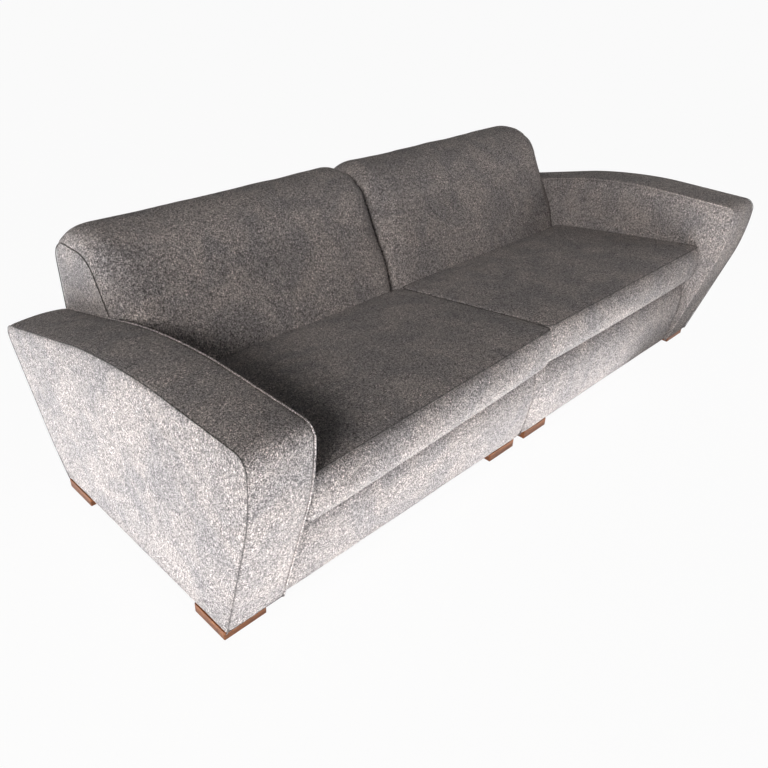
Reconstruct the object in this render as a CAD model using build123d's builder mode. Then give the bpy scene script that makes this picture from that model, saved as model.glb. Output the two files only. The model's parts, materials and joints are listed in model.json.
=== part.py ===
from build123d import *
import os
from math import atan, cos, hypot, radians, sin, sqrt, tan

# Two-piece sofa. x runs across the front (0 where the two units meet), y to the rear, z up from the floor.
# Side-view sizes count y from the front faces of the front feet, and u counts outwards from the middle.
# Lengths are in millimetres, angles in degrees.

os.makedirs("parts", exist_ok=True)

# Overall sizes
overall_width = 2440
module_gap = 3
arm_width = 180
fit_gap = 0.3
overrun = 20

# Arm, seen from the side
toe_y = -10
toe_radius = 6
nose_reach = 152
nose_face_height = 142
nose_break_run = 92
arm_height = 642
nose_radius = 36
arch_y = 383
arch_radius = 1650
tail_y = 1057
tail_height = 467
tail_radius = 42
heel_lean = 70
heel_break_height = 132
heel_break_radius = 380
heel_y = 813
heel_radius = 6
arm_crown = 10
nose_crown = 7

# Arm padding
arm_outer_pad = 15
arm_inner_pad = 25
arm_front_pad = 26
arm_top_pad = 30
arm_rear_pad = 16

# Back, seen from the side, and its padding
back_reach = 1038
back_height = 768
back_foot_y = 550
back_waist_y = 630
back_waist_height = 488
back_waist_radius = 520
back_shoulder_y = 779
back_shoulder_radius = 150
back_rear_radius = 140
back_foam = 96
back_top_foam = 84
back_rear_pad = 34
back_end_pad = 12
back_end_radius = 70
back_rear_end_radius = 12
back_crown = 5
back_end_shares = (0, 0.07, 0.2, 0.42, 0.7, 1)
back_crown_shares = (0.25, 0)

# Seat deck
deck_height = 314
seat_slope = 8
deck_pad_thickness = 12
deck_pad_tuck = 50

# Seat cushion
cushion_thickness = 148
cushion_overhang = 48
cushion_lean = 22
cushion_gap_pushes = {"left": 12, "right": 0}
cushion_arm_pushes = {"left": 60, "right": 0}
cushion_front_crown = 21
cushion_front_end_crown = 12
cushion_top_crown = 13
cushion_top_end_crown = 5
cushion_draw_in = 5
cushion_side_gap = 1.2
cushion_shoulder = 60
cushion_shoulder_share = 0.6

# Front border, closing panel, outside back and dust cover
border_thickness = 10
border_lean = 13
border_bulge = 30
closing_thickness = 12
outside_back_thickness = 12
dust_cover_thickness = 1

# Frame
arm_plywood = 15
side_plywood = 18
arm_rail_thickness = 30
front_rail_thickness = 25
top_rail_height = 30
rear_rail_height = 30
rear_rail_depth = 95
spring_rail_y = 560
spring_rail_thickness = 25
spring_rail_height = 90
block_leg = 150
former_count = 2

# Seat springs and their clips
spring_count = 5
spring_bends = 16
spring_leg = 50
wire_radius = 2
clip_width = 22
clip_length = 14
clip_wall = 2

# Feet and their bolts
foot_height = 30
foot_side = 130
foot_gap_setback = 31
foot_rear_setback = 4
foot_edge = 2
bolt_radius = 4
bolt_head_radius = 9
bolt_head_height = 5
bolt_recess_radius = 11
bolt_recess = 9
bolt_grip = 25
hole_clearance = 0.3

# Connector between the two units
connector_y = 400
plate_setback = 4
plate_length = 60
plate_width = 78
plate_thickness = 3
tongue_width = 30
tongue_thickness = 2.4
tongue_reach = 38
cheek_thickness = 5
connector_screw_radius = 2
connector_screw_head_radius = 4
connector_screw_head_height = 2
connector_screw_length = 16
connector_screw_spacing = 60

# Places that follow from the sizes above
slope = radians(seat_slope)
depth_shift = (nose_reach - back_reach) / 2
nose_break_height = arm_height - nose_face_height
heel_break_y = heel_y + heel_lean
outer_u = overall_width / 2
arm_inner_u = outer_u - arm_width
arm_panel_u = arm_inner_u + arm_inner_pad
arm_rail_u = arm_panel_u + arm_plywood
outer_panel_u = outer_u - arm_outer_pad - arm_plywood
gap_u = module_gap / 2
gap_panel_u = gap_u + closing_thickness
gap_panel_inner_u = gap_panel_u + side_plywood
back_cavity_end_u = arm_inner_u - fit_gap - back_end_pad
last_former_u = back_cavity_end_u - fit_gap - side_plywood
frame_bottom = foot_height + dust_cover_thickness
front_rail_back_y = border_thickness + front_rail_thickness
spring_rail_back_y = spring_rail_y + spring_rail_thickness
clip_height = 2 * (wire_radius + clip_wall)
panel_drop = deck_pad_thickness + fit_gap
spring_drop = panel_drop + clip_height / 2
rail_drop = panel_drop + clip_height


def crossing(a, b, c, d):
    """Where the line through a and b meets the line through c and d, as (y, z)."""
    (ay, az), (by, bz), (cy, cz), (dy, dz) = a, b, c, d
    run = (by - ay) * (dz - cz) - (bz - az) * (dy - cy)
    share = ((cy - ay) * (dz - cz) - (cz - az) * (dy - cy)) / run
    return ay + share * (by - ay), az + share * (bz - az)


def inset(corners, depths):
    """A clockwise outline with the side after each corner moved inwards by its depth."""
    sides = []
    for (y1, z1), (y2, z2), depth in zip(corners, corners[1:] + corners[:1], depths):
        length = hypot(y2 - y1, z2 - z1)
        step_y, step_z = depth * (z2 - z1) / length, depth * (y1 - y2) / length
        sides.append(((y1 + step_y, z1 + step_z), (y2 + step_y, z2 + step_z)))
    return [crossing(*sides[i - 1], *sides[i]) for i in range(len(sides))]


def beyond(a, b, extra):
    """The point past b, by extra, on the line that comes from a."""
    (ay, az), (by, bz) = a, b
    length = hypot(by - ay, bz - az)
    return by + extra * (by - ay) / length, bz + extra * (bz - az) / length


def under_deck(y, drop):
    """The point at y of the plane that lies drop below the sloping top of the seat deck."""
    return y, deck_height - y * tan(slope) - drop / cos(slope)


def on_deck(y, z):
    """A side-view point in the coordinates of deck_side_plane."""
    rise = z - deck_height
    return y * cos(slope) - rise * sin(slope), y * sin(slope) + rise * cos(slope)


def side_plane(x):
    """Side view at x: the plane's own x axis runs to the rear and its y axis up."""
    return Plane(origin=(x, depth_shift, 0), x_dir=(0, 1, 0), z_dir=(1, 0, 0))


def deck_side_plane(x):
    """Side view at x, tilted with the seat and starting at the front of its deck."""
    return Plane(origin=(x, depth_shift, deck_height), x_dir=(0, cos(slope), -sin(slope)), z_dir=(1, 0, 0))


def deck_plane(drop):
    """Plane parallel to the seat deck, drop below it, with its x axis across the sofa."""
    normal = Vector(0, sin(slope), cos(slope))
    return Plane(origin=Vector(0, depth_shift, deck_height) - normal * drop, x_dir=(1, 0, 0), z_dir=normal)


def place(side, u, y, z):
    """A side-view place in the sofa's own coordinates, on the given side of the middle."""
    return side * u, y + depth_shift, z


def save(builder, name):
    builder.part.label = name
    export_step(builder.part, f"parts/{name}.step")


def save_board(outline, side, u, width, name):
    """A board of the given side-view outline, width thick outwards from u."""
    with BuildPart() as board:
        with BuildSketch(side_plane(side * u)):
            with BuildLine():
                Polyline(*outline, close=True)
            make_face()
        extrude(amount=side * width)
    save(board, name)


# Arm outlines, clockwise from the toe
def arm_outline(crown, nose_inset):
    return [
        (toe_y, foot_height),
        (nose_inset - nose_reach, nose_break_height),
        (nose_inset - nose_reach, arm_height + crown),
        (arch_y, arm_height + crown),
        (tail_y, tail_height + crown),
        (heel_break_y, heel_break_height),
        (heel_y, foot_height),
    ]


nose_turn = atan((nose_reach + toe_y) / (nose_break_height - foot_height))
nose_break_radius = nose_break_run / tan(nose_turn / 2)
arm_radii = (
    toe_radius,
    nose_break_radius,
    nose_radius,
    arch_radius,
    tail_radius,
    heel_break_radius,
    heel_radius,
)
arm_pads = [arm_front_pad, arm_front_pad, arm_top_pad, arm_top_pad, arm_rear_pad, arm_rear_pad, -overrun]
arm_cavity = inset(arm_outline(0, nose_crown), arm_pads)
arm_frame = inset(arm_cavity, [fit_gap] * (len(arm_pads) - 1) + [overrun + dust_cover_thickness])
arm_core = inset(arm_frame, [arm_rail_thickness] * len(arm_pads))

# Back outlines, clockwise from the foot of the front face
heel = (heel_y, foot_height)
heel_break = (heel_break_y, heel_break_height)
rear_top = (back_reach, back_height)
rear_knee = crossing(heel_break, (tail_y, tail_height), (back_reach, deck_height), rear_top)
back_foot = under_deck(back_foot_y, -fit_gap)
back_waist = (back_waist_y, back_waist_height)
back_shoulder = (back_shoulder_y, back_height)
back_face = [back_foot, back_waist, back_shoulder, rear_top, rear_knee]
foam_low, foam_waist, foam_shoulder, foam_rear_top, foam_knee = inset(
    back_face, [back_foam, back_foam, back_top_foam, back_rear_pad, 0]
)
foam_foot = crossing(foam_low, foam_waist, back_foot, under_deck(back_reach, -fit_gap))
foam_rear_foot = crossing(foam_rear_top, foam_knee, rear_knee, foam_foot)
back_corners = back_face + [foam_foot]
back_cavity = [
    beyond(foam_waist, foam_foot, overrun),
    foam_waist,
    foam_shoulder,
    foam_rear_top,
    beyond(foam_rear_top, foam_rear_foot, overrun),
]


def back_outline(front_inset, top_inset, rear_inset):
    return inset(back_corners, [front_inset, front_inset, top_inset, rear_inset, 0, 0])


# Outline of a plywood former: front edge at front_y, then the deck, the back and the sloping rear
def former_outline(front_y, top_depth, bottom_depth):
    front_foot = (front_y, foot_height)
    deck_front = under_deck(front_y, panel_drop)
    deck_rear = crossing(deck_front, under_deck(back_reach, panel_drop), back_foot, back_waist)
    corners = [front_foot, deck_front, deck_rear] + back_face[1:] + [heel_break, heel]
    foam = back_foam + fit_gap
    rear = outside_back_thickness + fit_gap
    return inset(corners, [0, 0, foam, foam, top_depth, back_rear_pad + fit_gap, rear, rear, bottom_depth])


rail_seat = back_top_foam + fit_gap + top_rail_height
gap_panel_outline = former_outline(border_thickness, rail_seat, dust_cover_thickness)
inner_former_outline = former_outline(spring_rail_back_y, rail_seat, dust_cover_thickness + rear_rail_height)
rail_top_outline = former_outline(border_thickness, rail_seat - top_rail_height, dust_cover_thickness)
top_rail_bottom, top_rail_top = gap_panel_outline[4:6], rail_top_outline[4:6]
rear_rail_rear = gap_panel_outline[-1]
rear_rail_front_y = rear_rail_rear[0] - rear_rail_depth

# Outside back: its top edge lies along the underside of the back cover
seam_rear = (rear_knee[0], rear_knee[1] - fit_gap)
seam_front = (foam_foot[0], foam_foot[1] - fit_gap)
outside_inner = inset(
    [seam_front, rear_knee, heel_break, heel], [0, outside_back_thickness, outside_back_thickness, 0]
)
outside_top = crossing(seam_rear, seam_front, rear_knee, heel_break)
outside_inner_top = crossing(seam_rear, seam_front, outside_inner[1], outside_inner[2])
outside_inner_break, outside_inner_heel = outside_inner[2:]

spring_pitch = (arm_inner_u - gap_panel_inner_u) / spring_count
spring_us = [gap_panel_inner_u + (i + 1 / 2) * spring_pitch for i in range(spring_count)]
spring_front_y = border_thickness + front_rail_thickness / 2
spring_rear_y = spring_rail_y + spring_rail_thickness / 2


def spring_reach(y):
    """Distance of the place at y along deck_plane(spring_drop)."""
    return (y + spring_drop * sin(slope)) / cos(slope)


foot_places = {
    "front_gap": (foot_gap_setback + foot_side / 2, foot_side / 2),
    "front_outer": (outer_u - foot_side / 2, foot_side / 2),
    "rear_gap": (foot_gap_setback + foot_side / 2, heel_y - foot_rear_setback - foot_side / 2),
    "rear_outer": (outer_u - foot_side / 2, heel_y - foot_rear_setback - foot_side / 2),
}
connector_screw_u = gap_panel_u + side_plywood / 2
connector_screw_places = [
    (connector_screw_u, connector_y + row * connector_screw_spacing / 2) for row in (-1, 1)
]
plate_bottom = foot_height - plate_thickness
tongue_top = plate_bottom - fit_gap
tongue_bottom = tongue_top - tongue_thickness
strap_top = tongue_bottom - fit_gap


def make_arm_cover(side, hand):
    inner_wall_notch = [
        (border_thickness, foot_height - overrun),
        under_deck(border_thickness, panel_drop),
        crossing(
            under_deck(border_thickness, panel_drop),
            under_deck(back_reach, panel_drop),
            outside_inner_top,
            outside_inner_break,
        ),
        outside_inner_break,
        beyond(outside_inner_break, outside_inner_heel, overrun),
    ]
    with BuildPart() as arm_cover:
        for u, crown, nose_inset in (
            (arm_inner_u, 0, nose_crown),
            ((arm_inner_u + outer_u) / 2, arm_crown, 0),
            (outer_u, 0, nose_crown),
        ):
            with BuildSketch(side_plane(side * u)):
                with BuildLine():
                    FilletPolyline(*arm_outline(crown, nose_inset), radius=arm_radii, close=True)
                make_face()
        loft()
        with BuildSketch(side_plane(side * arm_panel_u)):
            with BuildLine():
                Polyline(*arm_cavity, close=True)
            make_face()
        extrude(amount=side * (outer_u - arm_outer_pad - arm_panel_u), mode=Mode.SUBTRACT)
        with BuildSketch(side_plane(side * (arm_inner_u - overrun))):
            with BuildLine():
                Polyline(*inner_wall_notch, close=True)
            make_face()
        extrude(amount=side * (overrun + arm_inner_pad), mode=Mode.SUBTRACT)
    save(arm_cover, f"{hand}_arm_cover")


def make_arm_frame(side, hand):
    outer, inner = arm_frame, arm_core
    save_board(outer, side, outer_panel_u, arm_plywood, f"{hand}_arm_outer_panel")
    save_board(outer, side, arm_panel_u, arm_plywood, f"{hand}_arm_inner_panel")
    rails = {
        "front": outer[:3] + inner[2::-1],
        "top": outer[2:5] + inner[4:1:-1],
        "rear": outer[4:] + inner[:3:-1],
        "base": [outer[0], inner[0], inner[-1], outer[-1]],
    }
    for name, outline in rails.items():
        save_board(outline, side, arm_rail_u, outer_panel_u - arm_rail_u, f"{hand}_arm_{name}_rail")


def make_back_cover(side, hand):
    near, far = gap_u, arm_inner_u - fit_gap
    stations = []
    for share in back_end_shares:
        rounding = 1 - sqrt(1 - (1 - share) ** 2)
        stations.append((near + share * back_end_radius, rounding, back_crown))
    crown_pitch = ((near + far) / 2 - near - back_end_radius) / len(back_crown_shares)
    for i, share in enumerate(back_crown_shares, 1):
        stations.append((near + back_end_radius + i * crown_pitch, 0, share * back_crown))
    stations += [(near + far - u, rounding, crown) for u, rounding, crown in reversed(stations[:-1])]
    with BuildPart() as back_cover:
        for u, rounding, crown in stations:
            front_inset = rounding * back_end_radius + crown
            rear_inset = rounding * back_rear_end_radius
            radii = (
                0,
                back_waist_radius - front_inset,
                back_shoulder_radius - front_inset,
                back_rear_radius - front_inset,
                0,
                0,
            )
            with BuildSketch(side_plane(side * u)):
                with BuildLine():
                    outline = back_outline(front_inset, front_inset, rear_inset)
                    FilletPolyline(*outline, radius=radii, close=True)
                make_face()
        loft(ruled=True)
        with BuildSketch(side_plane(side * gap_panel_u)):
            with BuildLine():
                Polyline(*back_cavity, close=True)
            make_face()
        extrude(amount=side * (back_cavity_end_u - gap_panel_u), mode=Mode.SUBTRACT)
    save(back_cover, f"{hand}_back_cover")


def make_seat_frame(side, hand):
    save_board(gap_panel_outline, side, gap_panel_u, side_plywood, f"{hand}_gap_panel")
    with BuildPart() as back_formers:
        for i in range(former_count):
            u = gap_panel_u + (last_former_u - gap_panel_u) * (i + 1) / former_count
            with BuildSketch(side_plane(side * u)):
                with BuildLine():
                    Polyline(*inner_former_outline, close=True)
                make_face()
            extrude(amount=side * side_plywood)
    save(back_formers, f"{hand}_back_formers")

    top_rail = top_rail_bottom[:1] + top_rail_top + top_rail_bottom[1:]
    top_rail_length = last_former_u + side_plywood - gap_panel_u
    save_board(top_rail, side, gap_panel_u, top_rail_length, f"{hand}_back_top_rail")

    front_rail = [
        (border_thickness, frame_bottom),
        under_deck(border_thickness, rail_drop),
        under_deck(front_rail_back_y, rail_drop),
        (front_rail_back_y, frame_bottom),
    ]
    spring_rail_top = under_deck(spring_rail_y, rail_drop)
    spring_rail_bottom = spring_rail_top[1] - spring_rail_height
    spring_rail = [
        (spring_rail_y, spring_rail_bottom),
        spring_rail_top,
        under_deck(spring_rail_back_y, rail_drop),
        (spring_rail_back_y, spring_rail_bottom),
    ]
    rear_rail_top = frame_bottom + rear_rail_height
    rear_rail = [
        (rear_rail_front_y, frame_bottom),
        (rear_rail_front_y, rear_rail_top),
        crossing(rear_rail_rear, gap_panel_outline[-2], (heel_y, rear_rail_top), (toe_y, rear_rail_top)),
        rear_rail_rear,
    ]
    rail_length = arm_panel_u - gap_panel_inner_u
    save_board(front_rail, side, gap_panel_inner_u, rail_length, f"{hand}_front_rail")
    save_board(spring_rail, side, gap_panel_inner_u, rail_length, f"{hand}_spring_rail")
    save_board(rear_rail, side, gap_panel_inner_u, rail_length, f"{hand}_rear_rail")

    with BuildPart() as corner_blocks:
        with BuildSketch(Plane.XY.offset(frame_bottom)):
            for u, u_step in ((gap_panel_inner_u, block_leg), (arm_panel_u, -block_leg)):
                for y, y_step in ((front_rail_back_y, block_leg), (rear_rail_front_y, -block_leg)):
                    with BuildLine():
                        Polyline(
                            place(side, u, y, 0),
                            place(side, u + u_step, y, 0),
                            place(side, u, y + y_step, 0),
                            close=True,
                        )
                    make_face()
        extrude(amount=rear_rail_height)
    save(corner_blocks, f"{hand}_corner_blocks")


def make_seat_springs(side, hand):
    plane = deck_plane(spring_drop)
    front, rear = spring_reach(spring_front_y), spring_reach(spring_rear_y)
    bend = (rear - front) / spring_bends
    half_leg = spring_leg / 2
    with BuildPart() as spring:
        with BuildLine(plane) as path:
            for i in range(spring_bends):
                turn = 1 if i % 2 == 0 else -1
                reach = front + i * bend
                Line((-turn * half_leg, reach), (turn * half_leg, reach))
                ThreePointArc(
                    (turn * half_leg, reach),
                    (turn * (half_leg + bend / 2), reach + bend / 2),
                    (turn * half_leg, reach + bend),
                )
            Line((half_leg, rear), (-half_leg, rear))
        start = path.wire() @ 0
        with BuildSketch(Plane(origin=start, z_dir=path.wire() % 0)):
            Circle(wire_radius)
        sweep(path=path.wire())
    with BuildPart() as seat_springs:
        with Locations(*[(side * u, 0, 0) for u in spring_us]):
            add(spring.part)
    save(seat_springs, f"{hand}_seat_springs")

    with BuildPart(plane) as spring_clips:
        with Locations(*[(side * u, reach) for u in spring_us for reach in (front, rear)]):
            Box(clip_width, clip_length, clip_height)
            Cylinder(wire_radius + hole_clearance, clip_width, rotation=(0, 90, 0), mode=Mode.SUBTRACT)
    save(spring_clips, f"{hand}_spring_clips")


def make_deck_pad(side, hand):
    front = (border_thickness + fit_gap + deck_pad_thickness * sin(slope)) / cos(slope)
    rear = (back_foot_y + deck_pad_tuck) / cos(slope)
    near, far = gap_panel_u + fit_gap, arm_inner_u - fit_gap
    with BuildPart() as deck_pad:
        with BuildSketch(deck_side_plane(side * near)):
            with BuildLine():
                Polyline(
                    (front, -deck_pad_thickness),
                    (front, 0),
                    (rear, 0),
                    (rear, -deck_pad_thickness),
                    close=True,
                )
            make_face()
        extrude(amount=side * (far - near))
    save(deck_pad, f"{hand}_deck_pad")


def make_seat_cushion(side, hand):
    bottom, top = fit_gap, cushion_thickness
    face = (on_deck(*back_foot), on_deck(*back_waist))
    near, far = gap_u + cushion_side_gap, arm_inner_u - cushion_side_gap
    gap_push, arm_push = cushion_gap_pushes[hand], cushion_arm_pushes[hand]
    stations = [(near, 0), (near + cushion_shoulder, cushion_shoulder_share), ((near + far) / 2, 1)]
    stations += [(near + far - u, share) for u, share in reversed(stations[:-1])]
    with BuildPart() as seat_cushion:
        for u, share in stations:
            draw_in = cushion_draw_in * (1 - share)
            front_crown = cushion_front_end_crown + share * (cushion_front_crown - cushion_front_end_crown)
            top_crown = cushion_top_end_crown + share * (cushion_top_crown - cushion_top_end_crown)
            front = -cushion_overhang - gap_push - (arm_push - gap_push) * (u - near) / (far - near)
            box = [
                (front, bottom),
                (front - cushion_lean, top),
                crossing(*face, (front, top), (0, top)),
                crossing(*face, (front, bottom), (0, bottom)),
            ]
            corners = inset(box, [draw_in, draw_in, cushion_side_gap + draw_in, 0])
            low_front, high_front, high_rear, low_rear = corners
            with BuildSketch(deck_side_plane(side * u)):
                with BuildLine():
                    SagittaArc(low_front, high_front, front_crown)
                    SagittaArc(high_front, high_rear, top_crown)
                    Line(high_rear, low_rear)
                    Line(low_rear, low_front)
                make_face()
        loft()
    save(seat_cushion, f"{hand}_seat_cushion")


def make_panels(side, hand):
    with BuildPart() as front_border:
        with BuildSketch(side_plane(side * gap_u)):
            with BuildLine():
                SagittaArc((0, foot_height), under_deck(-border_lean, 0), border_bulge)
                Polyline(
                    under_deck(-border_lean, 0),
                    under_deck(border_thickness, 0),
                    (border_thickness, foot_height),
                    (0, foot_height),
                )
            make_face()
        extrude(amount=side * (arm_inner_u - gap_u))
    save(front_border, f"{hand}_front_border")

    closing_outline = [
        (border_thickness, foot_height),
        under_deck(border_thickness, 0),
        seam_front,
        outside_inner_top,
        outside_inner_break,
        outside_inner_heel,
    ]
    save_board(closing_outline, side, gap_u, closing_thickness, f"{hand}_closing_panel")

    outside_outline = [
        heel,
        outside_inner_heel,
        outside_inner_break,
        outside_inner_top,
        outside_top,
        heel_break,
    ]
    outside_length = arm_inner_u - gap_u
    save_board(outside_outline, side, gap_u, outside_length, f"{hand}_outside_back")


def make_dust_cover(side, hand):
    near, far = gap_panel_u + fit_gap, outer_u - arm_outer_pad - fit_gap
    floor_line = ((toe_y, foot_height), (heel_y, foot_height))
    front = crossing(arm_frame[0], arm_frame[1], *floor_line)[0] + fit_gap
    rear = crossing(arm_frame[-1], arm_frame[-2], *floor_line)[0] - fit_gap
    with BuildPart() as dust_cover:
        with BuildSketch(Plane.XY.offset(foot_height)):
            with Locations(place(side, (near + far) / 2, (front + rear) / 2, 0)):
                Rectangle(far - near, rear - front)
            with Locations(*[place(side, u, y, 0) for u, y in foot_places.values()]):
                Circle(bolt_radius + hole_clearance, mode=Mode.SUBTRACT)
            with Locations(*[place(side, u, y, 0) for u, y in connector_screw_places]):
                Circle(connector_screw_radius + hole_clearance, mode=Mode.SUBTRACT)
        extrude(amount=dust_cover_thickness)
    save(dust_cover, f"{hand}_dust_cover")


def make_feet(side, hand):
    for name, (u, y) in foot_places.items():
        with BuildPart() as foot:
            with BuildSketch():
                with Locations(place(side, u, y, 0)):
                    Rectangle(foot_side, foot_side)
            extrude(amount=foot_height)
            lower_edges = foot.faces().sort_by(Axis.Z)[0].edges()
            chamfer(foot.edges().filter_by(Axis.Z) + lower_edges, length=foot_edge)
            with Locations(Plane(origin=place(side, u, y, 0), z_dir=(0, 0, -1))):
                CounterBoreHole(bolt_radius + hole_clearance, bolt_recess_radius, bolt_recess)
        save(foot, f"{hand}_{name}_foot")

    with BuildPart() as foot_bolts:
        bolt_places = [place(side, u, y, 0) for u, y in foot_places.values()]
        with BuildSketch(Plane.XY.offset(bolt_recess - bolt_head_height)):
            with Locations(*bolt_places):
                Circle(bolt_head_radius)
        extrude(amount=bolt_head_height)
        with BuildSketch(Plane.XY.offset(bolt_recess)):
            with Locations(*bolt_places):
                Circle(bolt_radius)
        extrude(amount=frame_bottom + bolt_grip - bolt_recess)
    save(foot_bolts, f"{hand}_foot_bolts")


def make_connector(side, hand):
    middle = place(side, plate_setback + plate_length / 2, connector_y, 0)
    with BuildPart() as connector:
        with BuildSketch(Plane.XY.offset(plate_bottom)):
            with Locations(middle):
                Rectangle(plate_length, plate_width)
            with Locations(*[place(side, u, y, 0) for u, y in connector_screw_places]):
                Circle(connector_screw_radius + hole_clearance, mode=Mode.SUBTRACT)
        extrude(amount=plate_thickness)
        if side < 0:
            with BuildSketch(Plane.XY.offset(tongue_bottom)):
                with Locations(middle):
                    Rectangle(plate_length, tongue_width)
            extrude(amount=plate_bottom - tongue_bottom)
            with BuildSketch(Plane.XY.offset(tongue_bottom)):
                with Locations(place(1, (tongue_reach - plate_setback) / 2, connector_y, 0)):
                    Rectangle(tongue_reach + plate_setback, tongue_width)
            extrude(amount=tongue_thickness)
        else:
            slot_width = tongue_width + 2 * fit_gap
            with BuildSketch(Plane.XY.offset(strap_top - plate_thickness)):
                with Locations(middle):
                    Rectangle(plate_length, slot_width + 2 * cheek_thickness)
            extrude(amount=plate_bottom - strap_top + plate_thickness)
            with BuildSketch(Plane.XY.offset(strap_top)):
                with Locations(middle):
                    Rectangle(plate_length, slot_width)
            extrude(amount=plate_bottom - strap_top, mode=Mode.SUBTRACT)
    save(connector, f"{hand}_connector")

    with BuildPart() as connector_screws:
        screw_places = [place(side, u, y, 0) for u, y in connector_screw_places]
        with BuildSketch(Plane.XY.offset(plate_bottom - connector_screw_head_height)):
            with Locations(*screw_places):
                Circle(connector_screw_head_radius)
        extrude(amount=connector_screw_head_height)
        with BuildSketch(Plane.XY.offset(plate_bottom)):
            with Locations(*screw_places):
                Circle(connector_screw_radius)
        extrude(amount=connector_screw_length)
    save(connector_screws, f"{hand}_connector_screws")


for side, hand in ((-1, "left"), (1, "right")):
    make_arm_cover(side, hand)
    make_arm_frame(side, hand)
    make_back_cover(side, hand)
    make_seat_frame(side, hand)
    make_seat_springs(side, hand)
    make_deck_pad(side, hand)
    make_seat_cushion(side, hand)
    make_panels(side, hand)
    make_dust_cover(side, hand)
    make_feet(side, hand)
    make_connector(side, hand)
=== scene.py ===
# %% [markdown]
# # A two-piece sectional sofa
# The frame of this sofa was made as a solid model: feet, rails, plywood, springs and bolts.
# Everything soft on it is made here. Each unit has a raked arm, a round-topped back, one loose
# seat cushion and a padded front border, all in one heathered warm-grey chenille with fine seams.

# %% Load the solid frame
import json
from math import cos, hypot, radians, sin, sqrt, tan

import bmesh
import bpy
import numpy as np
from mathutils import Matrix, Vector, noise
from mathutils.kdtree import KDTree


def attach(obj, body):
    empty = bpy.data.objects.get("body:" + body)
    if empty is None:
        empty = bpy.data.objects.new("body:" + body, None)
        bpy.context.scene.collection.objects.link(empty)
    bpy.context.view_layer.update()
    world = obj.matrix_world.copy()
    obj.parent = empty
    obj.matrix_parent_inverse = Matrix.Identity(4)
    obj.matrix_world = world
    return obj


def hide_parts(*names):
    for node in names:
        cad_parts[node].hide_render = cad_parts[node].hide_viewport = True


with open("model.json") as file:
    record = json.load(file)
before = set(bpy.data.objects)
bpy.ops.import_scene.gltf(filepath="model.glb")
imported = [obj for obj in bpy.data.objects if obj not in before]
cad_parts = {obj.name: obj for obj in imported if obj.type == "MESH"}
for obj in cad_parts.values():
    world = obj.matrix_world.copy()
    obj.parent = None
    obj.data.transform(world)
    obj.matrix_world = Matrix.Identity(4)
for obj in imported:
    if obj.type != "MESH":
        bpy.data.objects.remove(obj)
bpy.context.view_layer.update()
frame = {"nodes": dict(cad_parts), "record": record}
hands = {"left": -1, "right": 1}
print("frame loaded:", len(frame["nodes"]), "solid pieces")


# %% [markdown]
# ## Shared sizes
# The side view of the sofa gives nearly all of its shape, so most sizes are points of that view:
# y runs to the rear from the front feet and z up from the floor. The distance u counts outwards
# from the middle of the sofa, and is turned into x for the left or the right unit. Lengths are
# metres.

# %% Sizes of the side view
front_feet_y = -0.443
gap_u, arm_inner_u, outer_u = 0.0015, 1.040, 1.220
meet_u = 0.0005  # how near to the middle swollen cloth may come
touch_gap = 0.0003  # what is left between pieces that touch
rim_z = 0.0308

deck_front_z = 0.314
seat_slope = radians(8)
deck_start = Vector((0, front_feet_y, deck_front_z))
deck_run = Vector((0, cos(seat_slope), -sin(seat_slope)))
deck_rise = Vector((0, sin(seat_slope), cos(seat_slope)))

nose_y = -0.152
arm_corners = [
    (-0.010, rim_z), (nose_y, 0.500), (nose_y, 0.642), (0.383, 0.642),
    (1.057, 0.467), (0.883, 0.132), (0.813, rim_z),
]
arm_radii = (0.006, 0.622, 0.036, 1.650, 0.042, 0.380, 0.006)
arm_crown, nose_crown = 0.010, 0.007

back_face = [(0.550, 0.2370), (0.630, 0.488), (0.779, 0.768), (1.038, 0.768)]
back_radii = (0, 0.520, 0.150, 0.140, 0, 0)
back_end_radius, back_rear_end_radius, back_crown = 0.070, 0.012, 0.005

cushion_thickness, cushion_overhang, cushion_lean, cushion_gap = 0.148, 0.048, 0.022, 0.0012
unit_width, arm_width = round(outer_u - gap_u, 4), round(outer_u - arm_inner_u, 3)
print("each unit is", unit_width, "m wide, its arm", arm_width, "m")


# %% [markdown]
# ## Helpers for outlines
# A padded piece starts as an outline with a few corners. Each corner is rounded with a vertex
# bevel, as a pattern maker rounds a cardboard template, and the outline is then extruded or
# bridged into a closed form.

# %% Outline helpers
def crossing(a, b, c, d):
    """Where the line through a and b meets the line through c and d."""
    (ay, az), (by, bz), (cy, cz), (dy, dz) = a, b, c, d
    run = (by - ay) * (dz - cz) - (bz - az) * (dy - cy)
    share = ((cy - ay) * (dz - cz) - (cz - az) * (dy - cy)) / run
    return ay + share * (by - ay), az + share * (bz - az)


def inset(corners, depths):
    """A clockwise outline with the side after each corner moved inwards by its depth."""
    sides = []
    for (y1, z1), (y2, z2), depth in zip(corners, corners[1:] + corners[:1], depths):
        length = hypot(y2 - y1, z2 - z1)
        step_y, step_z = depth * (z2 - z1) / length, depth * (y1 - y2) / length
        sides.append(((y1 + step_y, z1 + step_z), (y2 + step_y, z2 + step_z)))
    return [crossing(*sides[i - 1], *sides[i]) for i in range(len(sides))]


def side_place(u):
    """Turns a point of the side view into a place at the distance u from the middle."""
    return lambda y, z: Vector((u, y + front_feet_y, z))


def deck_place(height):
    """Turns (u, reach along the deck) into a place at a height above the sloping deck."""
    return lambda u, reach: Vector((u, 0, 0)) + deck_start + reach * deck_run + height * deck_rise


def oblong(near, far, front, rear):
    """The four corners of a plan."""
    return [(near, front), (near, rear), (far, rear), (far, front)]


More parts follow.
